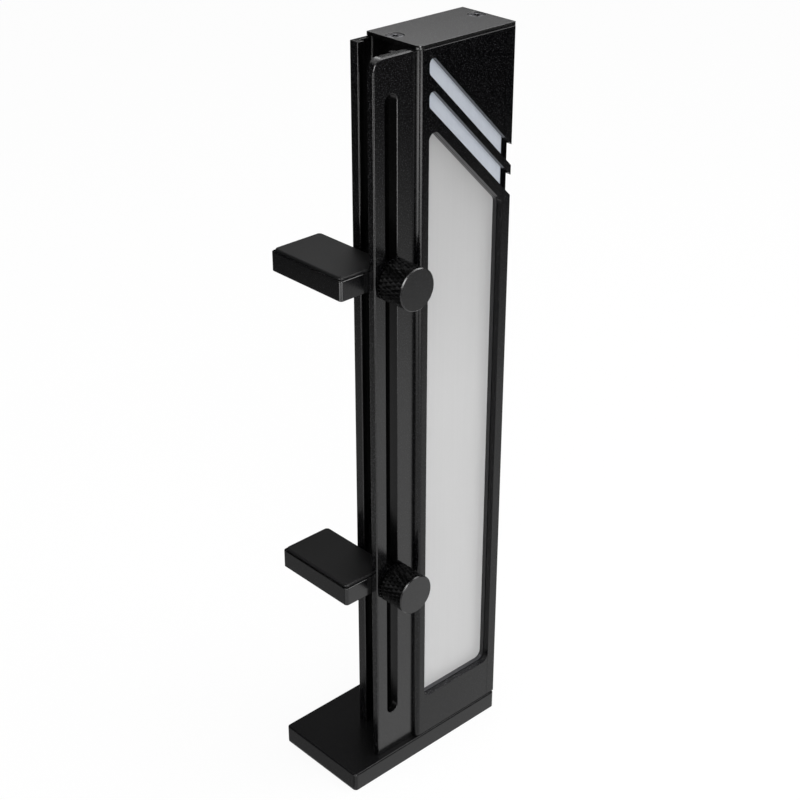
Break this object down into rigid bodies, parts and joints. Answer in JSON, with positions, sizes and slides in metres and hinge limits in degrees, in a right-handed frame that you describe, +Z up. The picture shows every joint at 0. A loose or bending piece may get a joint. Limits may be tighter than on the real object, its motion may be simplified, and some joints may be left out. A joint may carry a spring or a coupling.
{
  "type": "graphics card support bracket",
  "caption": "Free-standing graphics card support: a flat base, a slotted tower with a lit display window, and padded arms that slide and are clamped by knurled thumb knobs.",
  "frame": {"origin": "centre of the base's underside, on the surface it stands on", "axes": "+Z up along the tower, +X along the base from the arms to the window side, +Y from the front, where the knobs and the window are, to the back"},
  "size_m": [0.0746, 0.0509, 0.28],
  "materials": {
    "anodised_base": "black anodised, fine blasted",
    "anodised_tower": "black anodised, fine blasted",
    "anodised_panel": "black anodised, fine blasted",
    "anodised_cap": "black anodised, fine blasted",
    "anodised_arm": "black anodised, fine blasted",
    "anodised_knob": "black anodised, knurled",
    "rubber": "matte black",
    "pad_rubber": "matte black, lightly grained",
    "black_plastic": "matte black",
    "milky_acrylic": "satin milky white",
    "slot_acrylic": "satin bluish white",
    "board_laminate": "white solder mask",
    "led_package": "moulded package with a clear lens",
    "magnet_plating": "nickel plated",
    "screw_steel": "black oxide",
    "stud_steel": "black oxide",
    "washer_steel": "black oxide"
  },
  "bodies": {
    "tower": {"base_plate": "anodised_base", "base_foot": "rubber", "base_magnets": "magnet_plating", "base_screws": "screw_steel", "tower_extrusion": "anodised_tower", "front_panel": "anodised_panel", "light_frame": "black_plastic", "window_diffuser": "milky_acrylic", "slot_diffuser": "slot_acrylic", "led_board": "board_laminate", "leds": "led_package", "cable_grommet": "rubber", "top_cap": "anodised_cap", "cap_screws": "screw_steel"},
    "upper_arm": {"upper_arm": "anodised_arm", "upper_arm_pad": "pad_rubber"},
    "upper_washer": {"upper_washer": "washer_steel"},
    "upper_knob": {"upper_knob": "anodised_knob", "upper_stud": "stud_steel"},
    "lower_arm": {"lower_arm": "anodised_arm", "lower_arm_pad": "pad_rubber"},
    "lower_washer": {"lower_washer": "washer_steel"},
    "lower_knob": {"lower_knob": "anodised_knob", "lower_stud": "stud_steel"}
  },
  "joints": [
    {"name": "upper_arm_slide", "type": "slide", "parent": "tower", "child": "upper_arm", "axis": [0, 0, 1], "range_m": [-0.0516, 0.0596]},
    {"name": "upper_knob_travel", "type": "slide", "parent": "upper_arm", "child": "upper_washer", "axis": [0, -1, 0], "range_m": [0, 0.0014]},
    {"name": "upper_knob_turn", "type": "hinge", "parent": "upper_washer", "child": "upper_knob", "pos_m": [-0.01585, -0.0183, 0.2044], "axis": [0, -1, 0], "range_deg": [0, 720]},
    {"name": "lower_arm_slide", "type": "slide", "parent": "tower", "child": "lower_arm", "axis": [0, 0, 1], "range_m": [-0.0576, 0.0514]},
    {"name": "lower_knob_travel", "type": "slide", "parent": "lower_arm", "child": "lower_washer", "axis": [0, -1, 0], "range_m": [0, 0.0014]},
    {"name": "lower_knob_turn", "type": "hinge", "parent": "lower_washer", "child": "lower_knob", "pos_m": [-0.01585, -0.0183, 0.0851], "axis": [0, -1, 0], "range_deg": [0, 720]}
  ],
  "couplings": [
    {"joint": "upper_knob_turn", "follows": "upper_knob_travel", "rad_per_m": 8975.9},
    {"joint": "lower_knob_turn", "follows": "lower_knob_travel", "rad_per_m": 8975.9}
  ]
}
